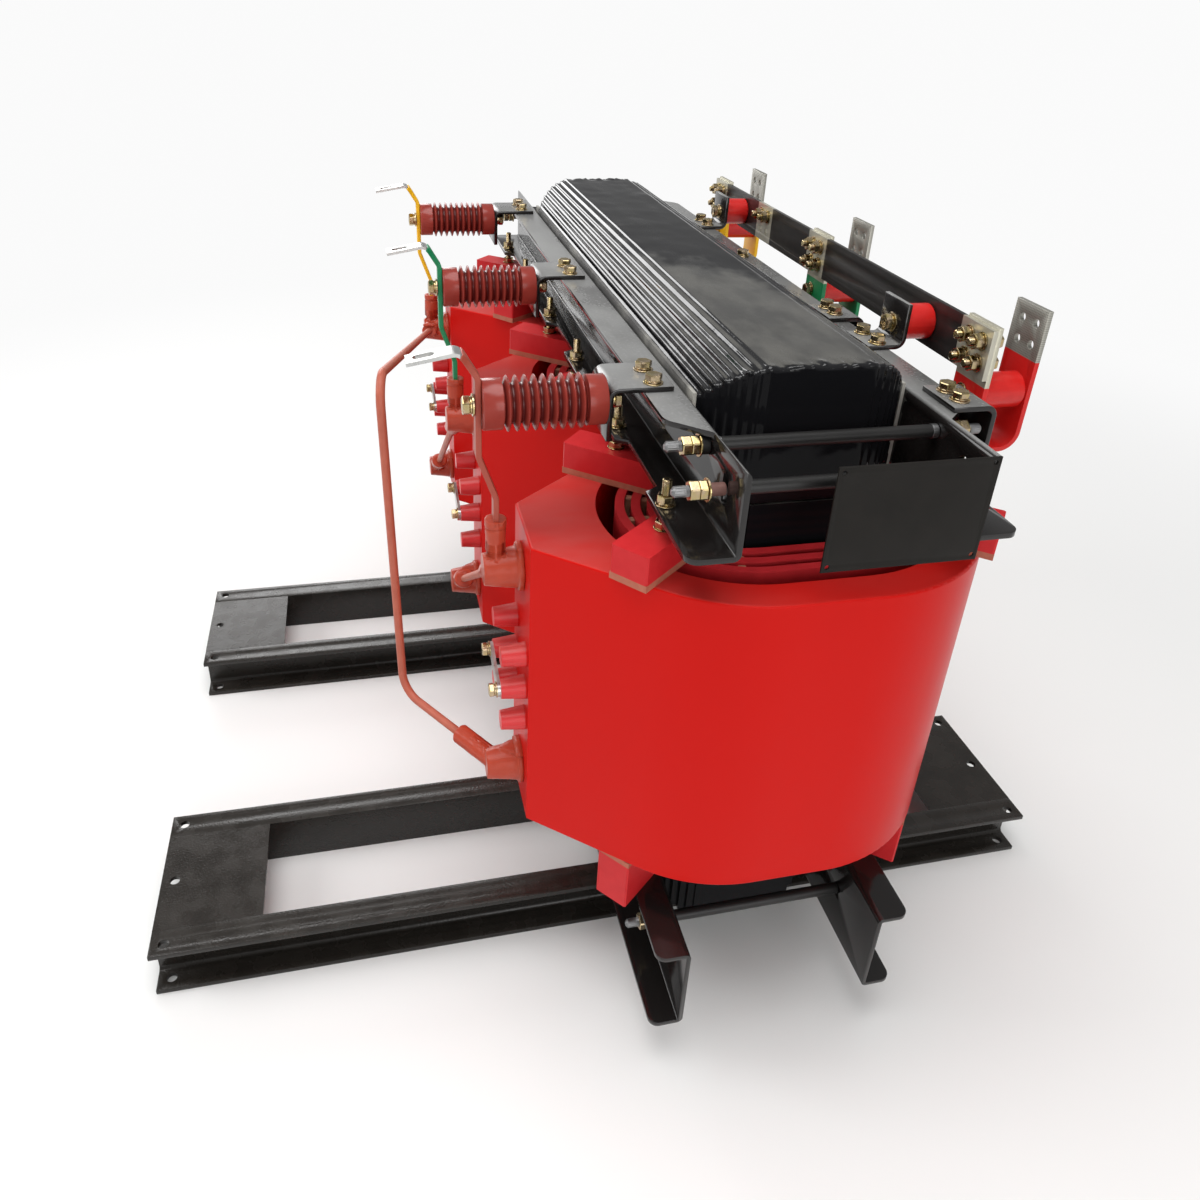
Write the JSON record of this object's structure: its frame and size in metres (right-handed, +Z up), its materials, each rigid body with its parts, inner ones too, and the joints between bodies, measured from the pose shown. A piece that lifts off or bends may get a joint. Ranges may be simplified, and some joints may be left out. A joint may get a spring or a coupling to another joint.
{
  "type": "cast-resin dry-type power transformer",
  "caption": "Three-phase cast-resin dry-type transformer: red oval coils on a black stepped core, clamped between folded channels on channel-iron bases.",
  "frame": {"origin": "on the floor, under the middle of the channel-iron bases", "axes": "+Z up, +X along the row of limbs towards the end with the bare plate, -Y the high-voltage side, +Y the low-voltage side"},
  "size_m": [1.312, 1.316, 0.918],
  "materials": {
    "frame_paint": "semi-gloss black paint, scuffed and dusty",
    "core_varnish": "thick glossy black varnish over sheet edges",
    "strip_board": "pale pressed insulating board",
    "hv_resin": "smooth cast resin, satin gloss",
    "lv_resin": "resin-sealed foil edges",
    "block_resin": "moulded resin",
    "pad_rubber": "brown silicone rubber",
    "insulator_resin": "glossy brown-red resin",
    "standoff_resin": "glossy red resin",
    "boot_rubber": "orange-brown silicone rubber",
    "link_sleeve": "orange-brown insulating sleeve",
    "tinned_copper": "tinned copper bar",
    "bus_paint": "black paint over copper",
    "yellow_zinc": "yellow-passivated zinc"
  },
  "bodies": {
    "root": {"base_left_inner_rail": "frame_paint", "base_left_outer_rail": "frame_paint", "base_right_inner_rail": "frame_paint", "base_right_outer_rail": "frame_paint", "base_end_plates": "frame_paint", "lower_clamp_hv": "frame_paint", "lower_clamp_lv": "frame_paint", "upper_clamp_hv": "frame_paint", "upper_clamp_lv": "frame_paint", "hv_brackets": "frame_paint", "lv_brackets": "frame_paint", "rating_plate": "frame_paint", "lower_yoke": "core_varnish", "upper_yoke": "core_varnish", "core_limbs": "core_varnish", "lower_tie_rods": "core_varnish", "upper_tie_rods": "core_varnish", "slot_tie_rods": "core_varnish", "core_strips": "strip_board", "hv_coil_a": "hv_resin", "hv_coil_b": "hv_resin", "hv_coil_c": "hv_resin", "lv_coil_a": "lv_resin", "lv_coil_b": "lv_resin", "lv_coil_c": "lv_resin", "lower_blocks": "block_resin", "upper_blocks": "block_resin", "lower_pads": "pad_rubber", "upper_pads": "pad_rubber", "hv_insulators": "insulator_resin", "lv_standoffs": "standoff_resin", "hv_top_boots": "boot_rubber", "hv_bottom_boots": "boot_rubber", "delta_links_short": "link_sleeve", "delta_link_long": "link_sleeve", "hv_lead_a": "tinned_copper", "hv_lead_b": "tinned_copper", "hv_lead_c": "tinned_copper", "lv_phase_bar_a": "tinned_copper", "lv_phase_bar_b": "tinned_copper", "lv_phase_bar_c": "tinned_copper", "neutral_bars": "tinned_copper", "tap_links": "tinned_copper", "neutral_bus": "bus_paint", "press_studs": "yellow_zinc"}
  },
  "joints": []
}
